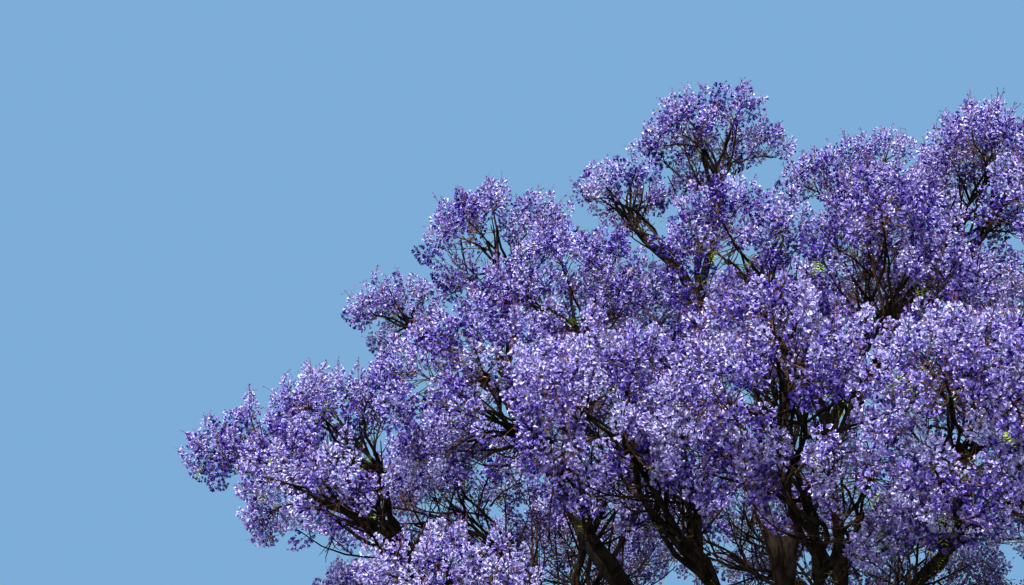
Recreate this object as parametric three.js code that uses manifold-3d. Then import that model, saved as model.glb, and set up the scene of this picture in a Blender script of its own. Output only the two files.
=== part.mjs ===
// A jacaranda tree in full bloom, in millimetres, +Z up. The origin is the middle of the flat cut
// under the trunk, at ground level. Headings are directions round the trunk, in degrees:
// 0 is +X, the right of the crown, 90 is its back, 180 its left and 270 its front.
//
// The trunk divides into boughs, boughs divide again, and every bough ends where two masses of
// blossom begin. A mass is one stem that branches into twigs by a seeded rule. Each twig carries
// sprays, and a spray is a solid spindle that stands for several real flower heads.
import * as THREE from 'three';
import { mergeVertices } from 'three/addons/utils/BufferGeometryUtils.js';
import Module from 'manifold-3d';

const { seededRandom, degToRad, lerp } = THREE.MathUtils;
const UP = new THREE.Vector3(0, 0, 1);
const GOLDEN_ANGLE = Math.PI * (3 - Math.sqrt(5));

// Driving dimensions.
const CLEARANCE = 0.3; // between pieces that meet
const SEED = 1831;

const TRUNK = {
  height: 3050,
  baseRadius: 355,
  waistRadius: 315, // its narrowest, half way up
  forkRadius: 370, // the swelling that the boughs leave from
  crownRadius: 210, // the rounded top between the boughs
  flare: 330, // how far the roots spread beyond the base radius
  flareHeight: 420,
  buttresses: 6,
  lean: 150, // sideways, at the top
  leanHeading: 35,
};

const BOUGH = {
  tipRadius: 50,
  step: 700, // between its bends
  waver: 0.03, // sideways bends, as a share of the length
  waves: 1.3,
  rise: 62, // how steeply a bough leaves the trunk, in degrees
  forkBack: 1350, // from the tip to the middle of its two masses
  forkDrop: 260, // how far the tip lies below them
};

const MASS = {
  flatness: 0.8, // height as a share of width
  stemRadius: 34,
  stemEnd: 27,
  twigRadius: 12,
  twigEnd: 7,
  twigs: 5,
  twigsWhenLarge: 6,
  large: 1400, // the radius from which a mass has that many
  twigReach: 0.3, // where a twig ends, as a share of the way to the edge of the mass's space
  leastRoom: 0.45, // a twig with less room than this share of the radius is skipped
  capAngle: 112, // how far round from the outward axis the twigs spread, in degrees
  sprayLength: 0.7, // as a share of the mass's radius
  sprayWidth: 0.9,
  sprayShares: [0.92, 0.7, 0.45], // where sprays sit along a twig
  sprayAngle: 78,
  apart: 0.38, // how far sprays keep off each other's middles; at 1 they never overlap
  room: 1.03, // how far a spray may reach, as a share of the mass's radius
  gap: 12, // kept to limbs and to other masses
};

const CROWN_HEART = new THREE.Vector3(0, 0, 3200); // the crown faces away from this point

// The boughs. `at` is the place along the parent where a bough leaves it, and `radius` is its
// own at that place. `blossom` gives its two masses: heading, distance from the trunk, height and
// radius.
const BOUGHS = [
  { name: 'left', from: 'trunk', at: 0.92, radius: 190,
    blossom: [[177, 6570, 7240, 850], [195, 5700, 7050, 1020]] },
  { name: 'left_low', from: 'left', at: 0.5, radius: 76,
    blossom: [[205, 6270, 6290, 880], [219, 5650, 5120, 950]] },
  { name: 'left_high', from: 'left', at: 0.26, radius: 108,
    blossom: [[164, 5290, 9160, 720], [184, 3950, 9450, 1010]] },
  { name: 'left_middle', from: 'left_high', at: 0.42, radius: 80,
    blossom: [[219, 5150, 7000, 1300], [210, 3600, 8310, 1220]] },
  { name: 'front_left', from: 'trunk', at: 0.95, radius: 165,
    blossom: [[238, 5500, 6500, 1300], [236, 3950, 6400, 1150]] },
  { name: 'front_left_low', from: 'front_left', at: 0.45, radius: 80,
    blossom: [[255, 5700, 6450, 1390], [261, 4500, 5850, 1200]] },
  { name: 'front', from: 'front_left', at: 0.22, radius: 104,
    blossom: [[242, 2950, 8550, 1180], [269, 3050, 8300, 1390]] },
  { name: 'front_low', from: 'front', at: 0.3, radius: 80,
    blossom: [[270, 6000, 6200, 1450], [284, 4250, 6200, 1200]] },
  { name: 'top', from: 'trunk', at: 0.97, radius: 160,
    blossom: [[188, 1530, 10600, 980], [148, 2930, 10610, 700]] },
  { name: 'top_right', from: 'top', at: 0.45, radius: 82,
    blossom: [[74, 1550, 10470, 1190], [330, 1750, 10050, 1220]] },
  { name: 'right', from: 'trunk', at: 0.93, radius: 190,
    blossom: [[345, 6100, 6700, 1850], [9, 5900, 7300, 1850]] },
  { name: 'right_front', from: 'right', at: 0.36, radius: 86,
    blossom: [[298, 5700, 6600, 1800], [321, 5900, 7100, 1850]] },
  { name: 'right_high', from: 'right', at: 0.28, radius: 90,
    blossom: [[305, 3800, 8700, 1850], [343, 3900, 9150, 1900]] },
  { name: 'back_right', from: 'right', at: 0.12, radius: 150,
    blossom: [[31, 5900, 6600, 1850], [53, 5800, 7200, 1850]] },
  { name: 'back_right_high', from: 'back_right', at: 0.3, radius: 86,
    blossom: [[24, 3600, 9100, 1850], [60, 3700, 9200, 1850]] },
  { name: 'back', from: 'back_right', at: 0.16, radius: 104,
    blossom: [[75, 6000, 6700, 1850], [98, 5850, 7200, 1850]] },
  { name: 'back_high', from: 'back', at: 0.4, radius: 80,
    blossom: [[96, 3600, 9100, 1800], [134, 3250, 8950, 1390]] },
  { name: 'back_left', from: 'left', at: 0.12, radius: 130,
    blossom: [[120, 5850, 6600, 1800], [142, 5700, 7200, 1600]] },
  { name: 'back_left_low', from: 'back_left', at: 0.5, radius: 76,
    blossom: [[160, 5650, 5500, 1200], [170, 2650, 7400, 1250]] },
];

const bark = new THREE.MeshStandardMaterial({ color: 0x55483c, roughness: 0.92, metalness: 0 });
const bloom = new THREE.MeshStandardMaterial({ color: 0x8378cf, roughness: 0.7, metalness: 0 });

// Points and directions.
const along = (point, direction, distance) => point.clone().addScaledVector(direction, distance);
const polar = (heading, reach, height) => new THREE.Vector3(
  reach * Math.cos(degToRad(heading)), reach * Math.sin(degToRad(heading)), height);

// Two directions at right angles to an axis and to each other.
function across(axis) {
  const reference = Math.abs(axis.z) < 0.8 ? UP : new THREE.Vector3(1, 0, 0);
  const side = new THREE.Vector3().crossVectors(axis, reference).normalize();
  return [side, new THREE.Vector3().crossVectors(axis, side).normalize()];
}

// A direction turned from the axis by `turn`, on the side that `round` gives.
function leaning(axis, turn, round) {
  const [side, other] = across(axis);
  return axis.clone().multiplyScalar(Math.cos(turn))
    .addScaledVector(side, Math.sin(turn) * Math.cos(round))
    .addScaledVector(other, Math.sin(turn) * Math.sin(round));
}

// A limb's centre line: a cubic curve that leaves and arrives along the given directions, with
// the sideways bends of a limb that grew towards the light.
class LimbLine extends THREE.Curve {
  constructor(start, leave, end, arrive, waver, phase) {
    super();
    const length = start.distanceTo(end);
    this.bow = new THREE.CubicBezierCurve3(
      start, along(start, leave, length * 0.38), along(end, arrive, -length * 0.3), end);
    [this.side, this.other] = across(end.clone().sub(start).normalize());
    this.swing = waver * length;
    this.phase = phase;
  }

  getPoint(t, target = new THREE.Vector3()) {
    const fade = this.swing * Math.sin(Math.PI * t);
    const angle = 2 * Math.PI * BOUGH.waves * t + this.phase;
    return target.copy(this.bow.getPoint(t))
      .addScaledVector(this.side, fade * Math.sin(angle))
      .addScaledVector(this.other, fade * Math.cos(angle) * 0.6);
  }
}

// A round piece along a curve: a cylinder bent to the line, its radius given at each place.
function bentGeometry(line, radiusAt, sides, steps, grown = 0, facing = null) {
  const geometry = new THREE.CylinderGeometry(1, 1, 1, sides, steps);
  const place = geometry.getAttribute('position');
  const reference = facing ?? across(line.getPoint(1).sub(line.getPoint(0)).normalize())[0];
  for (let i = 0; i < place.count; i++) {
    const t = place.getY(i) + 0.5;
    const forward = line.getTangent(t);
    const side = reference.clone().addScaledVector(forward, -reference.dot(forward)).normalize();
    const other = new THREE.Vector3().crossVectors(forward, side);
    const angle = Math.atan2(place.getZ(i), place.getX(i));
    const radius = Math.hypot(place.getX(i), place.getZ(i)) > 0.5 ? radiusAt(t, angle) + grown : 0;
    const end = t < 1e-6 ? -grown : t > 1 - 1e-6 ? grown : 0;
    const point = along(line.getPoint(t), forward, end)
      .addScaledVector(side, radius * Math.cos(angle))
      .addScaledVector(other, -radius * Math.sin(angle));
    place.setXYZ(i, point.x, point.y, point.z);
  }
  return geometry;
}

// A spray: an octahedron drawn out along its axis, fullest a little past the middle.
function sprayGeometry({ root, axis, length, width, roll }) {
  const geometry = new THREE.OctahedronGeometry(1);
  geometry.applyMatrix4(new THREE.Matrix4().makeRotationY(roll));
  const place = geometry.getAttribute('position');
  for (let i = 0; i < place.count; i++) {
    if (Math.abs(place.getY(i)) < 0.5) place.setY(i, 0.14);
  }
  geometry.scale(width / 2, length / 2, width / 2).translate(0, length / 2, 0);
  geometry.applyQuaternion(new THREE.Quaternion().setFromUnitVectors(
    new THREE.Vector3(0, 1, 0), axis));
  return geometry.translate(root.x, root.y, root.z);
}

// Solids.
const wasm = await Module();
wasm.setup();

// A geometry as a solid, with its doubled vertices merged and its empty triangles dropped.
function solidOf(geometry) {
  const bare = new THREE.BufferGeometry().setIndex(geometry.index)
    .setAttribute('position', geometry.getAttribute('position'));
  const merged = mergeVertices(bare, 1e-3);
  const corners = merged.index.array;
  const kept = [];
  for (let i = 0; i < corners.length; i += 3) {
    const [a, b, c] = corners.slice(i, i + 3);
    if (a !== b && b !== c && c !== a) kept.push(a, b, c);
  }
  return new wasm.Manifold(new wasm.Mesh({
    numProp: 3,
    vertProperties: merged.getAttribute('position').array,
    triVerts: Uint32Array.from(kept),
  }));
}

// The largest body of a solid, without loose scraps or sealed hollows.
const mainBody = (solid) => solid.decompose()
  .reduce((best, body) => (body.volume() > best.volume() ? body : best));

function meshOf(name, solid, material) {
  const { vertProperties, triVerts } = mainBody(solid).getMesh();
  const geometry = new THREE.BufferGeometry()
    .setAttribute('position', new THREE.BufferAttribute(vertProperties, 3))
    .setIndex(new THREE.BufferAttribute(triVerts, 1));
  geometry.computeVertexNormals();
  const mesh = new THREE.Mesh(geometry, material);
  mesh.name = name;
  return mesh;
}

// The trunk: a flared foot with buttresses, a waist, and a swelling where the boughs leave.
const trunkLine = new THREE.CubicBezierCurve3(
  new THREE.Vector3(), along(new THREE.Vector3(), UP, TRUNK.height * 0.4),
  polar(TRUNK.leanHeading, TRUNK.lean, TRUNK.height * 0.7),
  polar(TRUNK.leanHeading, TRUNK.lean, TRUNK.height));

function trunkRadius(t, angle) {
  const height = trunkLine.getPoint(t).z;
  const foot = Math.exp(-height / TRUNK.flareHeight);
  const lobes = 1 + 0.5 * Math.cos(TRUNK.buttresses * angle) + 0.2 * Math.cos(2 * angle + 1);
  const waist = lerp(TRUNK.baseRadius, TRUNK.waistRadius, Math.sin(Math.PI * Math.min(t, 0.5)));
  const swell = THREE.MathUtils.smoothstep(t, 0.55, 0.88);
  const crown = THREE.MathUtils.smoothstep(t, 0.9, 1);
  return lerp(lerp(waist, TRUNK.forkRadius, swell), TRUNK.crownRadius, crown)
    + TRUNK.flare * foot * lobes * 0.6;
}

const trunkGeometry = (grown = 0) =>
  bentGeometry(trunkLine, trunkRadius, 16, 10, grown);

// The boughs, each with its line, its radius along the line, and its solids.
const limbs = new Map();

function planBough({ name, from, at, radius, blossom }, index) {
  const centres = blossom.map(([heading, reach, height]) => polar(heading, reach, height));
  const middle = centres[0].clone().add(centres[1]).multiplyScalar(0.5);
  const parent = limbs.get(from);
  const foot = parent ? parent.line.getPoint(at) : trunkLine.getPoint(at);
  const outward = middle.clone().sub(foot).setZ(0).normalize();
  const start = parent ? foot : along(foot, outward, TRUNK.crownRadius * 0.55);
  const tip = along(middle, middle.clone().sub(start).normalize(), -BOUGH.forkBack)
    .addScaledVector(UP, -BOUGH.forkDrop);
  const aim = tip.clone().sub(start).normalize();
  const rise = degToRad(BOUGH.rise);
  const leave = parent
    ? parent.line.getTangent(at).multiplyScalar(0.75).add(aim).normalize()
    : along(outward.multiplyScalar(Math.cos(rise)), UP, Math.sin(rise)).lerp(aim, 0.3).normalize();
  const arrive = middle.clone().sub(tip).normalize().lerp(aim, 0.4).normalize();
  const waver = BOUGH.waver * (0.7 + 0.6 * seededRandom(SEED + index));
  const line = new LimbLine(start, leave, tip, arrive, waver, 2 * Math.PI * seededRandom());
  const radiusAt = (t) => lerp(radius, BOUGH.tipRadius, t ** 0.85);
  const sides = parent ? 5 : 7;
  const steps = Math.max(3, Math.round(start.distanceTo(tip) / BOUGH.step));
  const grow = (grown = 0) => solidOf(bentGeometry(line, radiusAt, sides, steps, grown));
  limbs.set(name, { name, line, radiusAt, centres, grow, from });
}
BOUGHS.forEach(planBough);

// A bough is cut clear of the trunk, of its parent and of each bough that left beside it earlier.
function boughSolid(limb) {
  const before = [...limbs.values()];
  const others = before.slice(0, before.indexOf(limb));
  const cutters = others.map((other) => other.grow(CLEARANCE));
  cutters.push(solidOf(trunkGeometry(CLEARANCE)));
  return cutters.reduce((solid, cutter) => solid.subtract(cutter), limb.grow());
}

// The masses of blossom, and the space that each keeps to: a flattened ball, parted from its
// neighbours by the plane midway between their surfaces.
const masses = BOUGHS.flatMap(({ name, blossom }) => blossom.map(([, , , radius], place) => ({
  name: `${name}_${place ? 'inner' : 'outer'}`,
  bough: limbs.get(name),
  place,
  radius,
  centre: limbs.get(name).centres[place],
})));

const flattened = (vector) => vector.clone().setZ(vector.z / MASS.flatness);
const depthIn = (mass, point) =>
  flattened(point.clone().sub(mass.centre)).lengthSq() - mass.radius ** 2;

function inSpace(mass, point, room = MASS.room) {
  const depth = depthIn(mass, point);
  if (depth > mass.radius ** 2 * (room ** 2 - 1)) return false;
  return masses.every((other) => {
    if (other === mass) return true;
    const apart = flattened(other.centre.clone().sub(mass.centre)).length();
    return (depthIn(other, point) - depth) / (2 * apart) > MASS.gap;
  });
}

// A mass's stem runs from its bough's tip to a hub under the middle of the mass.
function stemOf(mass) {
  const { line } = mass.bough;
  const tip = line.getPoint(1);
  const forward = line.getTangent(1);
  const outward = mass.centre.clone().sub(CROWN_HEART).normalize();
  const hub = along(mass.centre, outward, -mass.radius * 0.3);
  const twin = mass.bough.centres[1 - mass.place];
  const apart = mass.centre.clone().sub(twin);
  apart.addScaledVector(forward, -apart.dot(forward)).normalize();
  const start = along(tip, forward, CLEARANCE)
    .addScaledVector(apart, MASS.stemRadius * Math.SQRT1_2 + CLEARANCE);
  const reach = start.distanceTo(hub);
  const path = new THREE.CubicBezierCurve3(
    start, along(start, forward, reach * 0.3), along(hub, outward, -reach * 0.3), hub);
  const facing = apart.clone().cross(forward).add(apart).normalize();
  return { line: path, outward, facing, radiusAt: (t) => lerp(MASS.stemRadius, MASS.stemEnd, t) };
}
masses.forEach((mass) => { mass.stem = stemOf(mass); });

// Straight stretches of every limb and stem, for keeping twigs and sprays off them.
function stretches({ line, radiusAt }, count) {
  const points = line.getPoints(count);
  return points.slice(1).map((end, i) => ({
    line: new THREE.Line3(points[i], end), radius: radiusAt(i / count),
  }));
}
const obstacles = [
  ...[...limbs.values()].map((limb) => ({ parts: stretches(limb, 10) })),
  ...masses.map((mass) => ({ mass, parts: stretches(mass.stem, 5) })),
  { parts: stretches({ line: trunkLine, radiusAt: () => TRUNK.forkRadius }, 4) },
];

function clearOfLimbs(mass, point, halfWidth) {
  const nearest = new THREE.Vector3();
  return obstacles.every((obstacle) => obstacle.mass === mass || obstacle.parts.every((part) => {
    part.line.closestPointToPoint(point, true, nearest);
    return nearest.distanceTo(point) > part.radius + halfWidth + MASS.gap;
  }));
}

// How far a mass's own space goes on from a point in some direction.
function roomFrom(mass, point, direction) {
  const step = mass.radius / 20;
  let distance = 0;
  while (distance < 2 * mass.radius
    && inSpace(mass, along(point, direction, distance + step))) distance += step;
  return distance;
}

// The twigs and sprays of a mass. Twig directions are spread evenly round its outward axis by the
// golden angle. Whatever would leave the mass's space or touch a limb is skipped.
function growMass(mass, index) {
  const { outward, line: stem } = mass.stem;
  const cap = Math.cos(degToRad(MASS.capAngle));
  const phase = 2 * Math.PI * seededRandom(SEED + 100 + index);
  const count = mass.radius < MASS.large ? MASS.twigs : MASS.twigsWhenLarge;
  const twigs = [];
  for (let i = 0; i < count; i++) {
    const turn = Math.acos(lerp(1, cap, (i + 0.4) / count));
    const aim = leaning(outward, turn, phase + i * GOLDEN_ANGLE);
    const rolls = MASS.sprayShares.map(() => seededRandom());
    const room = roomFrom(mass, mass.centre, aim);
    const from = 0.98 - 0.5 * (i / count);
    const start = stem.getPoint(from);
    const end = along(mass.centre, aim, room * MASS.twigReach);
    const line = new THREE.LineCurve3(start, end);
    const free = room > mass.radius * MASS.leastRoom && [0.4, 0.6, 0.8, 1].every((t) =>
      inSpace(mass, line.getPoint(t)) && clearOfLimbs(mass, line.getPoint(t), MASS.twigRadius));
    if (free) twigs.push({ line, aim, rolls, radiusAt: (t) => lerp(MASS.twigRadius, MASS.twigEnd, t) });
  }
  const sprays = [];
  MASS.sprayShares.forEach((share, k) => {
    for (const twig of twigs) {
      const spray = sprayOn(mass, twig, share, k);
      const others = twigs.filter((other) => other !== twig);
      if (spray && !sprays.some((other) => meets(spray, other))
        && !others.some((other) => crosses(spray, other))) sprays.push(spray);
    }
  });
  return { twigs, sprays };
}

// A spray at a twig's end, or at its side, as long as the mass's space lets it be.
function sprayOn(mass, { line, aim, rolls }, share, k) {
  const round = 2 * Math.PI * (rolls[0] + k * 0.5);
  const axis = k ? leaning(line.getTangent(share), degToRad(MASS.sprayAngle), round) : aim.clone();
  axis.addScaledVector(mass.stem.outward, 0.25).normalize();
  const root = line.getPoint(share);
  const full = mass.radius * (0.9 + 0.2 * rolls[k]);
  for (const size of [1, 0.85, 0.7].map((part) => part * full)) {
    const spray = {
      root,
      axis,
      length: size * MASS.sprayLength,
      width: size * MASS.sprayWidth,
      roll: rolls[k] * Math.PI,
    };
    spray.points = sprayPoints(spray);
    if (fits(mass, spray)) return spray;
  }
  return null;
}

// Points on a spray: its corners, and places along the edges between them.
function sprayPoints(spray) {
  const place = sprayGeometry(spray).getAttribute('position');
  const corners = Array.from({ length: place.count }, (_, i) =>
    new THREE.Vector3().fromBufferAttribute(place, i));
  const between = corners.flatMap((corner, i) => {
    const next = corners[i % 3 === 2 ? i - 2 : i + 1];
    return [0.33, 0.66].map((share) => corner.clone().lerp(next, share));
  });
  return [...corners, ...between];
}

// How deep a point lies in a spray: below 1 it is inside.
function depthInSpray({ root, axis, length, width }, point) {
  const way = point.clone().sub(root);
  const rise = way.dot(axis);
  const aside = way.addScaledVector(axis, -rise).length() * 2 / width;
  const middle = length * 0.57;
  return aside + (rise < middle ? (middle - rise) / middle : (rise - middle) / (length - middle));
}

const meets = (spray, other) => other.points.some((point) => depthInSpray(spray, point) < MASS.apart)
  || spray.points.some((point) => depthInSpray(other, point) < MASS.apart);

const crosses = (spray, twig) =>
  twig.line.getPoints(8).some((point) => depthInSpray(spray, point) < 1.1);

const fits = (mass, spray) => spray.points.every((point) => inSpace(mass, point))
  && [0.2, 0.35, 0.57, 0.8, 1].every((share, i) => clearOfLimbs(mass,
    along(spray.root, spray.axis, share * spray.length), spray.width * [0.18, 0.3, 0.5, 0.25, 0][i]));

function massSolid(mass, index) {
  const { twigs, sprays } = growMass(mass, index);
  const pieces = [
    solidOf(bentGeometry(mass.stem.line, mass.stem.radiusAt, 4, 3, 0, mass.stem.facing)),
    ...twigs.map(({ line, radiusAt }) => solidOf(bentGeometry(line, radiusAt, 3, 1))),
    ...sprays.map((spray) => solidOf(sprayGeometry(spray))),
  ];
  return wasm.Manifold.union(pieces);
}

const tree = new THREE.Group();
tree.name = 'jacaranda_tree';
tree.add(meshOf('trunk', solidOf(trunkGeometry()), bark));
for (const limb of limbs.values()) {
  tree.add(meshOf(`bough_${limb.name}`, boughSolid(limb), bark));
}
masses.forEach((mass, index) => {
  tree.add(meshOf(`blossom_${mass.name}`, massSolid(mass, index), bloom));
});

export default tree;
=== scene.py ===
import math

import bpy
import numpy as np
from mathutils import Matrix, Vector, noise


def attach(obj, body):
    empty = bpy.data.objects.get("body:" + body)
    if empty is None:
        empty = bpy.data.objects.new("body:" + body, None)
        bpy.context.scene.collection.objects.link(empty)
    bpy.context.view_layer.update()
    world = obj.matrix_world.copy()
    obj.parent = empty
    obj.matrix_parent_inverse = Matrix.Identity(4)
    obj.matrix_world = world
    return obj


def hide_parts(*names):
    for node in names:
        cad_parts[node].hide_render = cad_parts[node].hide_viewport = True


# A jacaranda tree in full bloom, in metres. The trunk, boughs, masses of blossom, twigs and sprays
# are planned by the same seeded rule as the solids, and then carried on to flower heads.

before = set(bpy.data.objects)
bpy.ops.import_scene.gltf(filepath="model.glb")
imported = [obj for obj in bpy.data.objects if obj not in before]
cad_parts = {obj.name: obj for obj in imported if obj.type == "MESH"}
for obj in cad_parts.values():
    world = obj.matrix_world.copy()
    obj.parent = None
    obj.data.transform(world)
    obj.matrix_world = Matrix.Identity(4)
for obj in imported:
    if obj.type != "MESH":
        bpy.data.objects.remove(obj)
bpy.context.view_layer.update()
print("loaded the solids")

treeSeed = 1831
clearance = 0.0003  # between solids that meet
up = np.array([0.0, 0.0, 1.0])
level = np.array([1, 1, 0])
goldenAngle = math.pi * (3 - math.sqrt(5))
fullTurn = 6.28


# Numbers and directions.
class Seeded:
    # the same stream of numbers as the solids use
    def __init__(self, seed):
        self.state = seed & 0xFFFFFFFF

    def __call__(self):
        self.state = (self.state + 0x6D2B79F5) & 0xFFFFFFFF
        t = self.state
        t = ((t ^ (t >> 15)) * (t | 1)) & 0xFFFFFFFF
        t ^= (t + (((t ^ (t >> 7)) * (t | 61)) & 0xFFFFFFFF)) & 0xFFFFFFFF
        return ((t ^ (t >> 14)) & 0xFFFFFFFF) / 4294967296


def unit(v):
    return v / np.maximum(np.linalg.norm(v, axis=-1, keepdims=True), 1e-12)


def mix(a, b, share):
    return a + (b - a) * share


def smoothStep(x, low, high):
    t = np.clip((x - low) / (high - low), 0, 1)
    return t * t * (3 - 2 * t)


def polar(heading, reach, height):
    turn = math.radians(heading)
    return np.array([reach * math.cos(turn), reach * math.sin(turn), height])


def across(axis):
    # two directions at right angles to the axis, for one axis or for many
    axis = np.asarray(axis, float)
    reference = np.where(np.abs(axis[..., 2:]) < 0.8, up, np.array([1.0, 0, 0]))
    side = unit(np.cross(axis, reference))
    return side, unit(np.cross(axis, side))


def swung(side, other, turn):
    # a direction turned from side towards other
    return side * np.cos(turn) + other * np.sin(turn)


def leaning(axis, turn, around):
    # the axis tipped by a turn, to the side that around gives
    side, other = across(axis)
    away = swung(side, other, np.asarray(around)[..., None])
    return swung(axis, away, np.asarray(turn)[..., None])


def spokes(count):
    # angles that divide a full turn evenly
    return np.arange(count) * 2 * math.pi / count


def bezier(controls, t):
    # a curve through two, three or four control points, at the places t
    rows = [np.asarray(c, float) for c in controls]
    t = np.asarray(t, float)[..., None]
    while len(rows) > 1:
        rows = [a * (1 - t) + b * t for a, b in zip(rows, rows[1:])]
    return rows[0]


def manyCurves(controls, steps):
    # one curve for each row of the control points
    return np.stack([bezier(controls, np.full(len(controls[0]), t)) for t in np.linspace(0, 1, steps)], 1)


# Trunk and boughs: the plan.
trunk = {
    "height": 3.05, "lean": 0.15, "leanHeading": 35, "bends": (0.4, 0.7), "baseRadius": 0.355,
    "waistRadius": 0.315, "forkRadius": 0.37, "forkFrom": (0.55, 0.88), "crownRadius": 0.21,
    "crownFrom": (0.9, 1.0), "flare": 0.33, "flareHeight": 0.42, "flareShare": 0.6, "buttresses": 6,
    "buttressDepth": 0.5, "unevenness": 0.2, "sides": 72, "steps": 70, "below": 0.12,
}
bough = {
    "tipRadius": 0.05, "taper": 0.85, "waver": 0.03, "waverShare": (0.7, 0.6), "waves": 1.3,
    "waveDepth": 0.6, "rise": 62, "footOut": 0.55, "leave": 0.75, "leaveAim": 0.3, "leaveReach": 0.38,
    "arriveAim": 0.4, "arriveReach": 0.3, "forkBack": 1.35, "forkDrop": 0.26, "collar": 0.4,
    "collarFrom": 1.5, "collarLength": 0.24, "ringSpacing": 0.08, "leastRings": 8, "bevelSteps": 6,
}
# Name, what it grows from, where along that, radius there, and the two masses at its tip: heading,
# distance from the trunk, height and radius.
boughs = (
    ("left", "trunk", 0.92, 0.19, ((177, 6.57, 7.24, 0.85), (195, 5.7, 7.05, 1.02))),
    ("left_low", "left", 0.5, 0.076, ((205, 6.27, 6.29, 0.88), (219, 5.65, 5.12, 0.95))),
    ("left_high", "left", 0.26, 0.108, ((164, 5.29, 9.16, 0.72), (184, 3.95, 9.45, 1.01))),
    ("left_middle", "left_high", 0.42, 0.08, ((219, 5.15, 7.0, 1.3), (210, 3.6, 8.31, 1.22))),
    ("front_left", "trunk", 0.95, 0.165, ((238, 5.5, 6.5, 1.3), (236, 3.95, 6.4, 1.15))),
    ("front_left_low", "front_left", 0.45, 0.08, ((255, 5.7, 6.45, 1.39), (261, 4.5, 5.85, 1.2))),
    ("front", "front_left", 0.22, 0.104, ((242, 2.95, 8.55, 1.18), (269, 3.05, 8.3, 1.39))),
    ("front_low", "front", 0.3, 0.08, ((270, 6.0, 6.2, 1.45), (284, 4.25, 6.2, 1.2))),
    ("top", "trunk", 0.97, 0.16, ((188, 1.53, 10.6, 0.98), (148, 2.93, 10.61, 0.7))),
    ("top_right", "top", 0.45, 0.082, ((74, 1.55, 10.47, 1.19), (330, 1.75, 10.05, 1.22))),
    ("right", "trunk", 0.93, 0.19, ((345, 6.1, 6.7, 1.85), (9, 5.9, 7.3, 1.85))),
    ("right_front", "right", 0.36, 0.086, ((298, 5.7, 6.6, 1.8), (321, 5.9, 7.1, 1.85))),
    ("right_high", "right", 0.28, 0.09, ((305, 3.8, 8.7, 1.85), (343, 3.9, 9.15, 1.9))),
    ("back_right", "right", 0.12, 0.15, ((31, 5.9, 6.6, 1.85), (53, 5.8, 7.2, 1.85))),
    ("back_right_high", "back_right", 0.3, 0.086, ((24, 3.6, 9.1, 1.85), (60, 3.7, 9.2, 1.85))),
    ("back", "back_right", 0.16, 0.104, ((75, 6.0, 6.7, 1.85), (98, 5.85, 7.2, 1.85))),
    ("back_high", "back", 0.4, 0.08, ((96, 3.6, 9.1, 1.8), (134, 3.25, 8.95, 1.39))),
    ("back_left", "left", 0.12, 0.13, ((120, 5.85, 6.6, 1.8), (142, 5.7, 7.2, 1.6))),
    ("back_left_low", "back_left", 0.5, 0.076, ((160, 5.65, 5.5, 1.2), (170, 2.65, 7.4, 1.25))),
)


class Line:
    # a curve with control points, and a slow waver across it
    def __init__(self, controls, swing=0.0, phase=0.0):
        self.controls = [np.asarray(c, float) for c in controls]
        self.swing = swing
        self.phase = phase
        self.side, self.other = across(unit(self.controls[-1] - self.controls[0]))

    def point(self, t):
        t = np.asarray(t, float)
        fade = (self.swing * np.sin(math.pi * t))[..., None]
        angle = (2 * math.pi * bough["waves"] * t + self.phase)[..., None]
        wave = self.side * np.sin(angle) + self.other * np.cos(angle) * bough["waveDepth"]
        return bezier(self.controls, t) + wave * fade

    def tangent(self, t):
        t = np.asarray(t, float)
        return unit(self.point(np.minimum(t + 1e-4, 1)) - self.point(np.maximum(t - 1e-4, 0)))


lowBend, highBend = trunk["bends"]
trunkTop = polar(trunk["leanHeading"], trunk["lean"], trunk["height"])
trunkBend = polar(trunk["leanHeading"], trunk["lean"], trunk["height"] * highBend)
trunkLine = Line([np.zeros(3), up * trunk["height"] * lowBend, trunkBend, trunkTop])
limbs = {}


def planBough(index, name, parentName, at, radius, blossom):
    centres = [polar(*place[:3]) for place in blossom]
    middle = (centres[0] + centres[1]) / 2
    parent = limbs.get(parentName)
    foot = parent["line"].point(at) if parent else trunkLine.point(at)
    outward = unit((middle - foot) * level)
    start = foot if parent else foot + outward * trunk["crownRadius"] * bough["footOut"]
    tip = middle - unit(middle - start) * bough["forkBack"] - up * bough["forkDrop"]
    aim = unit(tip - start)
    rise = math.radians(bough["rise"])
    if parent:
        leave = unit(parent["line"].tangent(at) * bough["leave"] + aim)
    else:
        leave = unit(mix(outward * math.cos(rise) + up * math.sin(rise), aim, bough["leaveAim"]))
    arrive = unit(mix(unit(middle - tip), aim, bough["arriveAim"]))
    length = np.linalg.norm(tip - start)
    rand = Seeded(treeSeed + index)
    least, more = bough["waverShare"]
    waver = bough["waver"] * (least + more * rand())
    controls = [start, start + leave * length * bough["leaveReach"],
                tip - arrive * length * bough["arriveReach"], tip]
    line = Line(controls, waver * length, 2 * math.pi * rand())
    limbs[name] = {"line": line, "radius": radius, "centres": centres, "length": length}


for index, row in enumerate(boughs):
    planBough(index, *row)


def limbRadius(limb, t):
    return mix(limb["radius"], bough["tipRadius"], np.asarray(t, float) ** bough["taper"])


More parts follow.
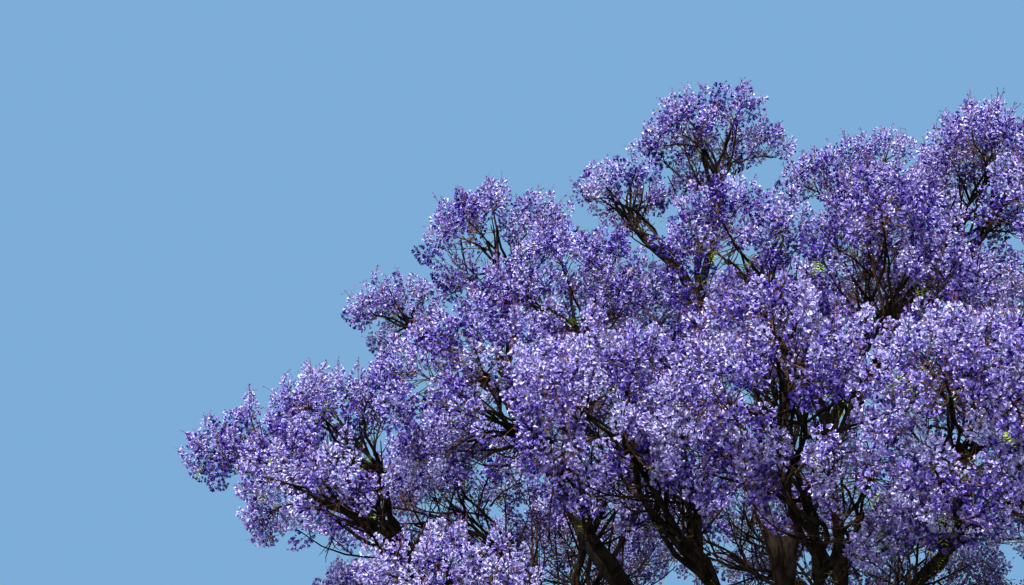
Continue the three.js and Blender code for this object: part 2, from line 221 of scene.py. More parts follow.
# Masses of blossom: the plan of each one's stem, twigs and sprays.
mass = {
    "flatness": 0.8, "room": 1.03, "gap": 0.012, "stemRadius": 0.034, "stemEnd": 0.027, "hubBack": 0.3,
    "stemReach": 0.3, "twigRadius": 0.012, "twigs": 5, "twigsWhenLarge": 6, "large": 1.4,
    "capAngle": 112, "firstTurn": 0.4, "leaves": (0.98, 0.5), "twigReach": 0.3, "leastRoom": 0.45,
    "stepsPerRadius": 20, "mostSteps": 40, "twigChecks": (0.4, 0.6, 0.8, 1), "twigPoints": 9,
    "twigApart": 1.1, "sprayShares": (0.92, 0.7, 0.45), "sprayAngle": 78, "sprayLean": 0.25,
    "spraySizes": (1, 0.85, 0.7), "sprayVary": (0.9, 0.2), "sprayLength": 0.7, "sprayWidth": 0.9,
    "sprayRing": 0.14, "sprayWidest": 0.57, "edgePoints": (0.33, 0.66), "apart": 0.38,
    "checksAlong": (0.2, 0.35, 0.57, 0.8, 1), "checksHalf": (0.18, 0.3, 0.5, 0.25, 0), "seed": 100,
}
crownHeart = np.array([0, 0, 3.2])
masses = [
    {"name": f"{row[0]}_{'inner' if place else 'outer'}", "bough": limbs[row[0]], "place": place,
     "radius": row[4][place][3], "centre": limbs[row[0]]["centres"][place]}
    for row in boughs for place in (0, 1)
]
massCentre = np.array([m["centre"] for m in masses])
massRadius = np.array([m["radius"] for m in masses])
flatScale = np.array([1, 1, 1 / mass["flatness"]])


def inSpace(index, points, room=mass["room"], gap=mass["gap"]):
    # whether points lie in a mass's own space
    points = np.atleast_2d(points)
    depth = (((points[:, None] - massCentre[None]) * flatScale) ** 2).sum(2) - massRadius ** 2
    own = depth[:, index]
    fine = own <= massRadius[index] ** 2 * (room ** 2 - 1)
    apart = np.linalg.norm((massCentre - massCentre[index]) * flatScale, axis=1)
    apart[index] = 1
    beyond = (depth - own[:, None]) / (2 * apart) > gap
    beyond[:, index] = True
    return fine & beyond.all(1)


def planStem(m):
    # from the bough's tip, on the mass's side of it, to the hub of its twigs
    line = m["bough"]["line"]
    tip, forward = line.point(1.0), line.tangent(1.0)
    outward = unit(m["centre"] - crownHeart)
    hub = m["centre"] - outward * m["radius"] * mass["hubBack"]
    apart = m["centre"] - m["bough"]["centres"][1 - m["place"]]
    apart = unit(apart - forward * apart.dot(forward))
    aside = mass["stemRadius"] * math.sqrt(0.5) + clearance
    start = tip + forward * clearance + apart * aside
    reach = np.linalg.norm(hub - start) * mass["stemReach"]
    m["outward"] = outward
    m["stem"] = Line([start, start + forward * reach, hub - outward * reach, hub])


for m in masses:
    planStem(m)

# Straight stretches of every limb and stem, for keeping twigs and sprays off them.
stretches = []
noOwner = -1


def addStretches(line, radiusAt, count, owner):
    t = np.linspace(0, 1, count + 1)
    points, radii = line.point(t), radiusAt(t)
    stretches.extend((*points[i], *points[i + 1], radii[i], owner) for i in range(count))


for limb in limbs.values():
    addStretches(limb["line"], lambda t: limbRadius(limb, t), count=10, owner=noOwner)
for index, m in enumerate(masses):
    addStretches(m["stem"], lambda t: mix(mass["stemRadius"], mass["stemEnd"], t), count=5, owner=index)
addStretches(trunkLine, lambda t: np.full(len(t), trunk["forkRadius"]), count=4, owner=noOwner)
stretches = np.array(stretches)


def distances(points, starts, ends):
    # from each point to each straight stretch
    way = ends - starts
    t = ((points[:, None] - starts) * way).sum(2) / np.maximum((way ** 2).sum(1), 1e-12)
    nearest = starts + way * np.clip(t, 0, 1)[..., None]
    return np.linalg.norm(points[:, None] - nearest, axis=2)


def clearOfLimbs(index, points, halfWidths):
    # off every limb and stem but the mass's own stem
    others = stretches[stretches[:, 7] != index]
    away = distances(np.atleast_2d(points), others[:, :3], others[:, 3:6])
    return (away > others[:, 6] + np.asarray(halfWidths)[..., None] + mass["gap"]).all(1)


def roomFrom(index, point, direction):
    # how far the mass's space goes that way
    step = masses[index]["radius"] / mass["stepsPerRadius"]
    inside = inSpace(index, point + direction * (np.arange(1, mass["mostSteps"] + 1) * step)[:, None])
    return step * (mass["mostSteps"] if inside.all() else int(np.argmin(inside)))


def turnedFromY(axis):
    # the rotation that takes +Y to the axis the shortest way
    w = axis[1] + 1
    q = np.array([axis[2], 0.0, -axis[0], w]) if w > 1e-8 else np.array([0, 0, 1.0, 0])
    x, y, z, w = q / np.linalg.norm(q)
    return np.array([
        [1 - 2 * (y * y + z * z), 2 * (x * y - z * w), 2 * (x * z + y * w)],
        [2 * (x * y + z * w), 1 - 2 * (x * x + z * z), 2 * (y * z - x * w)],
        [2 * (x * z - y * w), 2 * (y * z + x * w), 1 - 2 * (x * x + y * y)],
    ])


octahedron = np.array([[1, 0, 0], [-1, 0, 0], [0, 1, 0], [0, -1, 0], [0, 0, 1], [0, 0, -1]], float)
octahedronFaces = ((0, 2, 4), (0, 4, 3), (0, 3, 5), (0, 5, 2), (1, 2, 5), (1, 5, 3), (1, 3, 4), (1, 4, 2))


def sprayPoints(root, axis, length, width, roll):
    # the corners of the spray's spindle, and two points on each edge
    c, s = math.cos(roll), math.sin(roll)
    corners = octahedron @ np.array([[c, 0, s], [0, 1, 0], [-s, 0, c]]).T
    corners[np.abs(corners[:, 1]) < 0.5, 1] = mass["sprayRing"]
    corners = corners * np.array([width / 2, length / 2, width / 2]) + np.array([0, length / 2, 0])
    corners = corners @ turnedFromY(axis).T + root
    between = [mix(corners[p], corners[q], share) for a, b, c in octahedronFaces
               for p, q in ((b, c), (c, a), (a, b)) for share in mass["edgePoints"]]
    return np.vstack([corners, between])


def depthInSpray(spray, points):
    # below 1 inside the spindle
    way = points - spray["root"]
    rise = way @ spray["axis"]
    aside = np.linalg.norm(way - rise[:, None] * spray["axis"], axis=1) * 2 / spray["width"]
    middle = spray["length"] * mass["sprayWidest"]
    below, above = (middle - rise) / middle, (rise - middle) / (spray["length"] - middle)
    return aside + np.where(rise < middle, below, above)


def planSpray(index, plan, share, k):
    # the largest spindle that fits there: the first points as the twig aims, the others aside
    m = masses[index]
    start, end = plan["ends"]
    axis = plan["aim"]
    if k:
        around = 2 * math.pi * (plan["rolls"][0] + k * 0.5)
        axis = leaning(unit(end - start), math.radians(mass["sprayAngle"]), around)
    axis = unit(axis + m["outward"] * mass["sprayLean"])
    root = mix(start, end, share)
    least, more = mass["sprayVary"]
    for part in mass["spraySizes"]:
        size = part * m["radius"] * (least + more * plan["rolls"][k])
        length, width = size * mass["sprayLength"], size * mass["sprayWidth"]
        points = sprayPoints(root, axis, length, width, plan["rolls"][k] * math.pi)
        along = root + axis * (np.array(mass["checksAlong"]) * length)[:, None]
        halves = np.array(mass["checksHalf"]) * width
        if inSpace(index, points).all() and clearOfLimbs(index, along, halves).all():
            return {"root": root, "axis": axis, "length": length, "width": width, "mass": index,
                    "twig": plan, "points": points}
    return None


def planMass(index):
    # twigs to all sides of its centre first, and then those sprays on them that keep clear
    m = masses[index]
    cap = math.cos(math.radians(mass["capAngle"]))
    rand = Seeded(treeSeed + mass["seed"] + index)
    phase = 2 * math.pi * rand()
    count = mass["twigs"] if m["radius"] < mass["large"] else mass["twigsWhenLarge"]
    highest, lower = mass["leaves"]
    twigs, sprays = [], []
    for i in range(count):
        turn = math.acos(mix(1, cap, (i + mass["firstTurn"]) / count))
        aim = leaning(m["outward"], turn, phase + i * goldenAngle)
        rolls = [rand() for _ in mass["sprayShares"]]
        room = roomFrom(index, m["centre"], aim)
        leaves = highest - lower * (i / count)
        start = m["stem"].point(leaves)
        end = m["centre"] + aim * room * mass["twigReach"]
        checks = mix(start, end, np.array(mass["twigChecks"])[:, None])
        halves = np.full(len(checks), mass["twigRadius"])
        if (room > m["radius"] * mass["leastRoom"] and inSpace(index, checks).all()
                and clearOfLimbs(index, checks, halves).all()):
            twigs.append({"ends": (start, end), "aim": aim, "rolls": rolls, "leaves": leaves})
    for k, share in enumerate(mass["sprayShares"]):
        for plan in twigs:
            spray = planSpray(index, plan, share, k)
            if spray and not meetsSpray(spray, sprays) and not crossesTwig(spray, twigs, plan):
                sprays.append(spray)
    m["twigs"], m["sprays"] = twigs, sprays


def meetsSpray(spray, sprays):
    return any((depthInSpray(spray, other["points"]) < mass["apart"]).any()
               or (depthInSpray(other, spray["points"]) < mass["apart"]).any() for other in sprays)


def crossesTwig(spray, twigs, own):
    shares = np.linspace(0, 1, mass["twigPoints"])[:, None]
    return any((depthInSpray(spray, mix(*other["ends"], shares)) < mass["twigApart"]).any()
               for other in twigs if other is not own)


for index in range(len(masses)):
    planMass(index)
sprays = [spray for m in masses for spray in m["sprays"]]
massNodes = ["blossom_" + m["name"] for m in masses]
print("planned", len(limbs), "boughs and", len(sprays), "sprays")
rng = np.random.default_rng(treeSeed)
pieces = []


# Shader maths as plain expressions.
class Wire:
    def __init__(self, tree, socket):
        self.tree, self.socket = tree, socket

    def maths(self, operation, *values):
        node = self.tree.nodes.new("ShaderNodeMath")
        node.operation = operation
        for place, value in enumerate(values):
            plug(self.tree, value, node.inputs[place])
        return Wire(self.tree, node.outputs[0])

    def __add__(self, other):
        return self.maths("ADD", self, other)

    __radd__ = __add__

    def __mul__(self, other):
        return self.maths("MULTIPLY", self, other)

    __rmul__ = __mul__


def plug(tree, value, socket):
    if isinstance(value, Wire):
        tree.links.new(value.socket, socket)
    elif isinstance(value, tuple) and len(socket.default_value) == 4:
        socket.default_value = (*value, 1)
    else:
        socket.default_value = value


class Look:
    def __init__(self, name, roughness, specular=0.3):
        self.material = bpy.data.materials.new(name)
        self.material.use_nodes = True
        self.tree = self.material.node_tree
        self.surface = self.tree.nodes["Principled BSDF"]
        self.set("Roughness", roughness)
        self.set("Specular IOR Level", specular)

    def node(self, kind, settings, sockets, output):
        made = self.tree.nodes.new(kind)
        for key, value in settings.items():
            setattr(made, key, value)
        for key, value in sockets.items():
            plug(self.tree, value, made.inputs[key])
        return Wire(self.tree, made.outputs[output])

    def set(self, name, value):
        plug(self.tree, value, self.surface.inputs[name])

    def noise(self, scale, detail=4.0, stretch=(1, 1, 1), roughness=0.6):
        place = self.node("ShaderNodeTexCoord", {}, {}, "Object")
        place = self.node("ShaderNodeMapping", {}, {"Vector": place}, "Vector")
        place.socket.node.inputs["Scale"].default_value = stretch
        sockets = {"Vector": place, "Scale": scale, "Detail": detail, "Roughness": roughness}
        return self.node("ShaderNodeTexNoise", {}, sockets, "Fac")

    def between(self, value, low, high):
        sockets = {"Value": value, "From Min": low, "From Max": high}
        return self.node("ShaderNodeMapRange", {"interpolation_type": "SMOOTHSTEP"}, sockets, "Result")

    def blend(self, share, low, high):
        return self.node("ShaderNodeMix", {"data_type": "RGBA"}, {0: share, 6: low, 7: high}, 2)

    def bump(self, height, strength, distance):
        sockets = {"Height": height, "Strength": strength, "Distance": distance}
        self.set("Normal", self.node("ShaderNodeBump", {}, sockets, "Normal"))


def plainLook(name, colour, roughness, specular=0.25):
    made = Look(name, roughness, specular)
    made.set("Base Color", colour)
    return made.material


# Meshes from arrays.
def meshObject(name, points, faces, materials, slots=None, smooth=False):
    points = np.reshape(points, (-1, 3))
    faces = np.reshape(faces, (-1, np.shape(faces)[-1]))
    mesh = bpy.data.meshes.new(name)
    mesh.vertices.add(len(points))
    mesh.vertices.foreach_set("co", np.ascontiguousarray(points, np.float32).ravel())
    mesh.loops.add(faces.size)
    mesh.loops.foreach_set("vertex_index", np.ascontiguousarray(faces, np.int32).ravel())
    mesh.polygons.add(len(faces))
    mesh.polygons.foreach_set("loop_start", np.arange(0, faces.size, faces.shape[1], dtype=np.int32))
    for material in materials:
        mesh.materials.append(material)
    if slots is not None:
        mesh.polygons.foreach_set("material_index", np.ascontiguousarray(slots, np.int32))
    mesh.polygons.foreach_set("use_smooth", np.full(len(faces), smooth))
    mesh.update(calc_edges=True)
    piece = bpy.data.objects.new(name, mesh)
    bpy.context.collection.objects.link(piece)
    pieces.append(piece)
    print(name, len(faces) * (faces.shape[1] - 2), "triangles")
    return piece


def repeated(local, count, step):
    # the faces of so many copies of a shape that has so many points
    return (np.arange(count) * step)[:, None, None] + np.asarray(local)


def tubes(lines, radii, sides):
    # round twigs along many lines at once: lines (n, k, 3), radii (n, k) or the same k for all
    n, k, _ = lines.shape
    radii = np.broadcast_to(radii, (n, k))
    tangents = unit(np.gradient(lines, axis=1))
    reference = across(unit(lines[:, -1] - lines[:, 0]))[0][:, None]
    side = unit(reference - tangents * (reference * tangents).sum(2, keepdims=True))
    ring = swung(side[:, :, None], np.cross(tangents, side)[:, :, None], spokes(sides)[:, None])
    points = lines[:, :, None] + ring * radii[:, :, None, None]
    base = np.arange(n * k * sides).reshape(n, k, sides)
    near, far = base[:, :-1], base[:, 1:]
    faces = np.stack([near, np.roll(near, -1, 2), np.roll(far, -1, 2), far], -1)
    return points.reshape(-1, 3), faces.reshape(-1, 4)


def joined(parts):
    # several meshes whose faces have the same number of corners, as one
    offset, points, faces = 0, [], []
    for p, f in parts:
        points.append(p)
        faces.append(f + offset)
        offset += len(p)
    return np.vstack(points), np.vstack(faces)


# Bark: the trunk and boughs are shaped one by one, fused by voxels and given their relief.
bark = {
    "voxel": 0.033, "smoothing": 4, "fineBelow": 3.1, "aboveCut": 0.001, "ridge": 0.012,
    "boughRidge": 0.005, "platesTo": 3.6, "platesFrom": 3.0, "footSmooth": 0.05, "plates": (15, 6),
    "plateSlope": 2.2, "plateLow": 0.7, "wear": (6, 3), "ripples": (14, 7), "fineRipples": (30, 16),
    # The bark colours are darker than real bark: painted shade, for limbs that lie in the crown's shade.
    "finerShare": 0.5, "pale": (0.045, 0.032, 0.024), "dark": (0.0035, 0.0026, 0.0022),
    "patch": (0.014, 0.0105, 0.0085), "patchShare": 0.5, "roughness": 0.95, "specular": 0.04,
}


def trunkRadius(t, angle):
    # flared with buttresses at the foot, a waist, a wider fork, and in again at the top
    foot = np.exp(-trunkLine.point(t)[..., 2] / trunk["flareHeight"])
    buttresses = trunk["buttressDepth"] * np.cos(trunk["buttresses"] * angle)
    lobes = 1 + buttresses + trunk["unevenness"] * np.cos(2 * angle + 1)
    waist = mix(trunk["baseRadius"], trunk["waistRadius"], np.sin(math.pi * np.minimum(t, 0.5)))
    waist = mix(waist, trunk["forkRadius"], smoothStep(t, *trunk["forkFrom"]))
    waist = mix(waist, trunk["crownRadius"], smoothStep(t, *trunk["crownFrom"]))
    return waist + trunk["flare"] * foot * lobes * trunk["flareShare"]


def deselect():
    bpy.ops.object.select_all(action="DESELECT")


def shapeTrunk():
    # a disc extruded upwards, ring by ring, and then swelled into flare, waist and fork
    deselect()
    bpy.ops.mesh.primitive_circle_add(vertices=trunk["sides"], radius=1, fill_type="NGON",
                                      location=(0, 0, 0))
    bpy.ops.object.mode_set(mode="EDIT")
    for _ in range(trunk["steps"]):
        bpy.ops.mesh.extrude_region_move(TRANSFORM_OT_translate={"value": (0, 0, 1 / trunk["steps"])})
    bpy.ops.object.mode_set(mode="OBJECT")
    piece = bpy.context.object
    places = np.array([v.co for v in piece.data.vertices])
    t, angle = places[:, 2], np.arctan2(places[:, 1], places[:, 0])
    reference = across(unit(trunkTop))[0]
    forward = trunkLine.tangent(t)
    side = unit(reference - forward * (forward @ reference)[:, None])
    outward = swung(side, np.cross(side, forward), angle[:, None])
    points = trunkLine.point(t) + outward * trunkRadius(t, angle)[:, None]
    points[t < 1e-6, 2] -= trunk["below"]  # cut flat at the ground after the fusing
    piece.data.vertices.foreach_set("co", points.ravel())
    return piece


def shapeBough(limb):
    # a path with a round bevel, swollen to a collar where it leaves its parent
    count = max(bough["leastRings"], int(limb["length"] / bough["ringSpacing"]))
    t = np.linspace(0, 1, count)
    beyond = np.maximum(t * limb["length"] - limb["radius"] * bough["collarFrom"], 0)
    radii = limbRadius(limb, t) * (1 + bough["collar"] * np.exp(-beyond / bough["collarLength"]))
    deselect()
    bpy.ops.curve.primitive_nurbs_path_add(location=(0, 0, 0))
    path = bpy.context.object
    path.data.splines.clear()
    spline = path.data.splines.new("POLY")
    spline.points.add(count - 1)
    spline.points.foreach_set("co", np.c_[limb["line"].point(t), np.ones(count)].ravel())
    spline.points.foreach_set("radius", radii)
    path.data.bevel_depth = 1
    path.data.bevel_resolution = bough["bevelSteps"]
    path.data.use_fill_caps = True
    bpy.ops.object.convert(target="MESH")
    return bpy.context.object


def barkLook():
    made = Look("bark", bark["roughness"], bark["specular"])
    cracks = made.noise(scale=13, detail=6, stretch=(1, 1, 0.3), roughness=0.65)
    cracks = made.between(cracks, low=0.4, high=0.6)
    fine = made.noise(scale=70, detail=4, stretch=(1, 1, 0.5), roughness=0.7)
    patches = made.between(made.noise(scale=1.8, detail=3), low=0.4, high=0.7)
    colour = made.blend(cracks * 0.7 + fine * 0.3, bark["dark"], bark["pale"])
    made.set("Base Color", made.blend(patches * bark["patchShare"], colour, bark["patch"]))
    made.bump(cracks * 0.6 + fine * 0.4, strength=0.8, distance=0.014)
    return made.material


shaped = [shapeTrunk()] + [shapeBough(limb) for limb in limbs.values()]
deselect()
for piece in shaped:
    piece.select_set(True)
bpy.context.view_layer.objects.active = shaped[0]
bpy.ops.object.join()
wood = bpy.context.object
wood.name = "bark_of_trunk_and_boughs"
fuse = wood.modifiers.new("fuse", "REMESH")
fuse.mode = "VOXEL"
fuse.voxel_size = bark["voxel"]
soften = wood.modifiers.new("soften", "SMOOTH")
soften.iterations = bark["smoothing"]
bpy.ops.object.modifier_apply(modifier="fuse")
bpy.ops.object.modifier_apply(modifier="soften")
bpy.ops.object.mode_set(mode="EDIT")
bpy.ops.mesh.select_all(action="SELECT")
bpy.ops.mesh.bisect(plane_co=(0, 0, 0), plane_no=(0, 0, 1), use_fill=True, clear_inner=True)
bpy.ops.mesh.select_all(action="DESELECT")
bpy.ops.object.mode_set(mode="OBJECT")
centres = np.zeros(len(wood.data.polygons) * 3)
wood.data.polygons.foreach_get("center", centres)
heights = centres.reshape(-1, 3)[:, 2]
wood.data.polygons.foreach_set("select", (heights < bark["fineBelow"]) & (heights > bark["aboveCut"]))
bpy.ops.object.mode_set(mode="EDIT")
bpy.ops.mesh.subdivide(number_cuts=1, smoothness=0.0)
bpy.ops.object.mode_set(mode="OBJECT")


def noiseAt(place, scales):
    return noise.noise(scaled(place, scales))


def scaled(place, scales):
    # by one scale across and another upwards
    x, y, z = place
    flat, tall = scales
    return x * flat, y * flat, z * tall


def reliefAt(place):
    # scaly plates on the trunk, ripples on the boughs
    if place[2] < bark["platesTo"]:
        near = noise.voronoi(scaled(place, bark["plates"]))[0]
        plate = min((near[1] - near[0]) * bark["plateSlope"], 1)
        return plate - bark["plateLow"] + bark["finerShare"] * noiseAt(place, bark["wear"])
    return noiseAt(place, bark["ripples"]) + bark["finerShare"] * noiseAt(place, bark["fineRipples"])


def giveRelief(mesh):
    # moves every point along its normal, most on the trunk
    points = np.zeros(len(mesh.vertices) * 3)
    normals = np.zeros(len(mesh.vertices) * 3)
    mesh.vertices.foreach_get("co", points)
    mesh.vertices.foreach_get("normal", normals)
    points, normals = points.reshape(-1, 3), normals.reshape(-1, 3)
    relief = np.array([reliefAt(place) for place in points])
    depth = mix(bark["boughRidge"], bark["ridge"],
                smoothStep(points[:, 2], bark["platesTo"], bark["platesFrom"]))
    depth = depth * smoothStep(points[:, 2], 0.0, bark["footSmooth"])
    points = points + normals * (relief * depth)[:, None]
    mesh.vertices.foreach_set("co", points.ravel())
    mesh.polygons.foreach_set("use_smooth", np.full(len(mesh.polygons), True))
    mesh.update()


giveRelief(wood.data)
barkMaterial = barkLook()
wood.data.materials.append(barkMaterial)
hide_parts("trunk", *["bough_" + name for name in limbs])
pieces.append(wood)
print("bark", sum(len(p.vertices) - 2 for p in wood.data.polygons), "triangles")

# Side limbs, from the boughs to the farthest sprays of each mass, and the masses' stems.
sideLimb = {
    "perMass": 4, "radius": (0.034, 0.013), "taper": 0.8, "ofBough": 0.6, "swell": 0.5,
    "swellFade": 14, "from": (0.6, 0.985), "tries": 40, "angle": 58, "reach": 1.1, "reachWeight": 10,
    "fromVary": 0.05, "foot": 0.12, "forward": 0.75, "towards": 0.85, "leaveVary": 0.12,
    "leaveReach": 0.36, "arrive": 0.6, "arriveReach": 0.3, "swing": 0.09, "swingShare": (0.5, 1.2),
    "stem": (1.2, 0.7), "sides": 7, "shownPart": (0.55, 1.0), "bareOnSide": (0.2, 0.95),
    "bareOnStem": (0.05, 0.9), "bareOnBough": (0.42, 1.0),
}
carriers = []  # lines that bare twigs grow from: line, length, first and last place


def growSideLimb(m, spray):
    # to the foot of a spray, leaving the bough at a natural angle
    line = m["bough"]["line"]
    goal = spray["root"] + spray["axis"] * spray["length"] * sideLimb["foot"]
    t = np.linspace(*sideLimb["from"], sideLimb["tries"])
    way = goal - line.point(t)
    angle = np.degrees(np.arccos(np.clip((unit(way) * line.tangent(t)).sum(1), -1, 1)))
    tooFar = np.abs(np.linalg.norm(way, axis=1) - sideLimb["reach"])
    at = t[np.argmin(np.abs(angle - sideLimb["angle"]) + sideLimb["reachWeight"] * tooFar)]
    at = float(np.clip(at + rng.normal(0, sideLimb["fromVary"]), *sideLimb["from"]))
    start = line.point(at)
    length = np.linalg.norm(goal - start)
    towards = unit(goal - start)
    leave = unit(line.tangent(at) * sideLimb["forward"] + towards * sideLimb["towards"]
                 + rng.normal(0, sideLimb["leaveVary"], 3))
    arrive = unit(spray["axis"] + towards * sideLimb["arrive"])
    controls = [start, start + leave * length * sideLimb["leaveReach"],
                goal - arrive * length * sideLimb["arriveReach"], goal]
    swing = length * sideLimb["swing"] * rng.uniform(*sideLimb["swingShare"])
    made = Line(controls, swing, rng.random() * fullTurn)
    thick = min(sideLimb["radius"][0], float(limbRadius(m["bough"], at)) * sideLimb["ofBough"])
    carriers.append((made, length, *sideLimb["bareOnSide"]))
    return made, thick


t = np.linspace(0, 1, 10)
shown = [limb["line"].point(np.linspace(*sideLimb["shownPart"], 10)) for limb in limbs.values()]
lines, radii = [], []
for m in masses:
    chosen = sorted(m["sprays"], key=lambda s: -np.linalg.norm(s["root"] - m["stem"].point(0.5)))
    for spray in chosen[:sideLimb["perMass"]]:
        line, thick = growSideLimb(m, spray)
        lines.append(line.point(t))
        if spray is chosen[0]:
            shown.append(lines[-1])
        swell = 1 + sideLimb["swell"] * np.exp(-t * sideLimb["swellFade"])
        radii.append(mix(thick, sideLimb["radius"][1], t ** sideLimb["taper"]) * swell)
limbParts = [tubes(np.array(lines), np.array(radii), sideLimb["sides"])]
t = np.linspace(0, 1, 9)
stems = np.array([m["stem"].point(t) for m in masses])
thickest, thinnest = sideLimb["stem"]
stemRadii = mix(mass["stemRadius"] * thickest, mass["stemEnd"] * thinnest, t)
limbParts.append(tubes(stems, stemRadii, sideLimb["sides"]))
points, faces = joined(limbParts)
meshObject("side_limbs", points, faces, [barkMaterial], smooth=True)
for m in masses:
    stemLength = np.linalg.norm(m["stem"].point(1.0) - m["stem"].point(0.0))
    carriers.append((m["stem"], stemLength, *sideLimb["bareOnStem"]))
for limb in limbs.values():
    carriers.append((limb["line"], limb["length"], *sideLimb["bareOnBough"]))

# Twigs: the masses' own, and a leader along each spray.
twig = {
    "leaveReach": 0.3, "arriveReach": 0.25, "swing": 0.03, "stemShare": 0.7, "ownShare": 0.8,
    "leader": (0.013, 0.005), "leaderBend": (0.14, 0.2), "leaderReach": 0.7,
    # The dark twig colour is darker than real bark: painted shade, for twigs that lie in the crown's
    # shade.
    "colour": (0.005, 0.0036, 0.003), "paler": (0.068, 0.042, 0.028),
}


def twigLook():
    made = Look("twig bark", bark["roughness"], bark["specular"])
    share = made.between(made.noise(scale=3.5, detail=3), low=0.35, high=0.75)
    made.set("Base Color", made.blend(share, twig["colour"], twig["paler"]))
    made.bump(made.noise(scale=90, detail=3), strength=0.4, distance=0.004)
    return made.material


twigMaterial = twigLook()
t = np.linspace(0, 1, 6)
lines = []
for m in masses:
    for plan in m["twigs"]:
        start, end = plan["ends"]
        length = np.linalg.norm(end - start)
        leave = m["stem"].tangent(plan["leaves"])
        controls = [start, start + leave * length * twig["leaveReach"],
                    end - plan["aim"] * length * twig["arriveReach"], end]
        lines.append(Line(controls, length * twig["swing"], plan["rolls"][0] * fullTurn).point(t))
twigRadii = mix(mass["stemEnd"] * twig["stemShare"], mass["twigRadius"] * twig["ownShare"], t)
twigParts = [tubes(np.array(lines), twigRadii, sides=5)]
t = np.linspace(0, 1, 5)
leaders = []
for spray in sprays:
    root, axis, length = spray["root"], spray["axis"], spray["length"]
    direction = unit(spray["twig"]["ends"][1] - spray["twig"]["ends"][0])
    onward, along = twig["leaderBend"]
    bend = root + direction * length * onward + axis * length * along
    leaders.append(bezier([root, bend, root + axis * length * twig["leaderReach"]], t))
leaders = np.array(leaders)
twigParts.append(tubes(leaders, mix(*twig["leader"], t), sides=4))

# Bare twigs with fine side twigs, on the limbs and stems. Only those that end under the blossom stay.
bareTwig = {
    "clusters": 1300, "onBoughs": 0.36, "angle": (0.6, 1.15), "rise": 0.1, "length": (0.5, 1.3),
    "radius": (0.015, 0.0045), "drift": 0.2, "bend": 0.34, "turnUp": 0.35, "turnVary": 0.16,
    "rest": 0.66, "knee": 0.33, "within": 0.76, "below": 0.86, "fine": 5, "finePart": 3.6,
    "fineAngle": (0.5, 0.9), "fineLength": (0.22, 0.5), "kneeVary": 0.15, "endUp": 0.4, "endVary": 0.2,
    "fineTurn": 2, "fineRadii": (0.007, 0.0055, 0.003), "points": 6,
}


def bareTwigs():
    starts, ways, sizes = [], [], []
    weights = np.array([length * (b - a) for _, length, a, b in carriers])
    weights[-len(limbs):] *= bareTwig["onBoughs"]
    numbers = np.round(bareTwig["clusters"] * weights / weights.sum()).astype(int)
    for (line, _, a, b), n in zip(carriers, numbers):
        around = rng.random() * fullTurn
        for k in range(n):
            at = mix(a, b, (k + rng.random()) / n)
            angle = rng.uniform(*bareTwig["angle"])
            way = leaning(line.tangent(at), angle, around + k * goldenAngle)
            starts.append(line.point(at))
            ways.append(unit(way + up * bareTwig["rise"]))
            sizes.append(rng.uniform(*bareTwig["length"]))
    return np.array(starts), np.array(ways), np.array(sizes)[:, None]


def underBlossom(points):
    # well inside a mass, or nearer the trunk than the masses on that side
    away = np.linalg.norm((points[:, None] - massCentre) * flatScale, axis=2) / massRadius
    nearest = np.linalg.norm(points[:, None] - massCentre, axis=2).argmin(1)
    reach = np.linalg.norm(massCentre[nearest] - crownHeart, axis=1) * bareTwig["below"]
    return (away.min(1) < bareTwig["within"]) | (np.linalg.norm(points - crownHeart, axis=1) < reach)


starts, ways, sizes = bareTwigs()
drift = rng.normal(0, bareTwig["drift"], starts.shape)
thirds = starts + (ways + drift) * sizes * bareTwig["bend"]
turned = unit(ways + up * bareTwig["turnUp"] + rng.normal(0, bareTwig["turnVary"], starts.shape))
ends = thirds + turned * sizes * bareTwig["rest"]
knees = thirds + unit(ways - drift) * sizes * bareTwig["knee"]
hidden = underBlossom(ends)
sizes = sizes[hidden]
main = manyCurves([starts, thirds, knees, ends], bareTwig["points"])[hidden]
radii = mix(*bareTwig["radius"], np.linspace(0, 1, bareTwig["points"]))
twigParts.append(tubes(main, radii, sides=4))
points, faces = joined(twigParts)
meshObject("twigs", points, faces, [twigMaterial], smooth=True)
fineParts = []
row = np.arange(len(main))
for number in range(bareTwig["fine"]):
    place = 1 + bareTwig["finePart"] * (number + rng.random(len(main))) / bareTwig["fine"]
    low = place.astype(int)
    foot = mix(main[row, low], main[row, low + 1], (place - low)[:, None])
    forward = unit(main[row, low + 1] - main[row, low])
    angle = rng.uniform(*bareTwig["fineAngle"], len(main))
    around = number * goldenAngle + rng.random(len(main)) * bareTwig["fineTurn"]
    way = leaning(forward, angle, around)
    half = sizes * rng.uniform(*bareTwig["fineLength"], (len(main), 1)) * 0.5
    knee = foot + (way + rng.normal(0, bareTwig["kneeVary"], way.shape)) * half
    end = knee + unit(way + up * bareTwig["endUp"] + rng.normal(0, bareTwig["endVary"], way.shape)) * half
    lines = np.stack([foot, knee, end], 1)[underBlossom(end)]
    fineParts.append(tubes(lines, bareTwig["fineRadii"], sides=3))
points, faces = joined(fineParts)
meshObject("fine_twigs", points, faces, [twigMaterial])

# Flower heads: places on the outside of each spray, and between the sprays.
truss = {
    "most": 6000, "apart": 0.18, "onSpray": 62, "between": 220, "capAngle": 150, "betweenAngle": 130,
    "placeVary": 0.07, "roundness": 1.6, "middle": 0.52, "nearSpray": 2.2, "buried": 0.74, "edge": 1.04,
    "innerRoom": (0.5, 0.97), "length": (0.22, 0.3), "width": (0.2, 0.28), "lift": 0.5,
    "axisVary": 0.2, "set": 0.84, "tip": 0.1, "loneMost": 2.3,
}
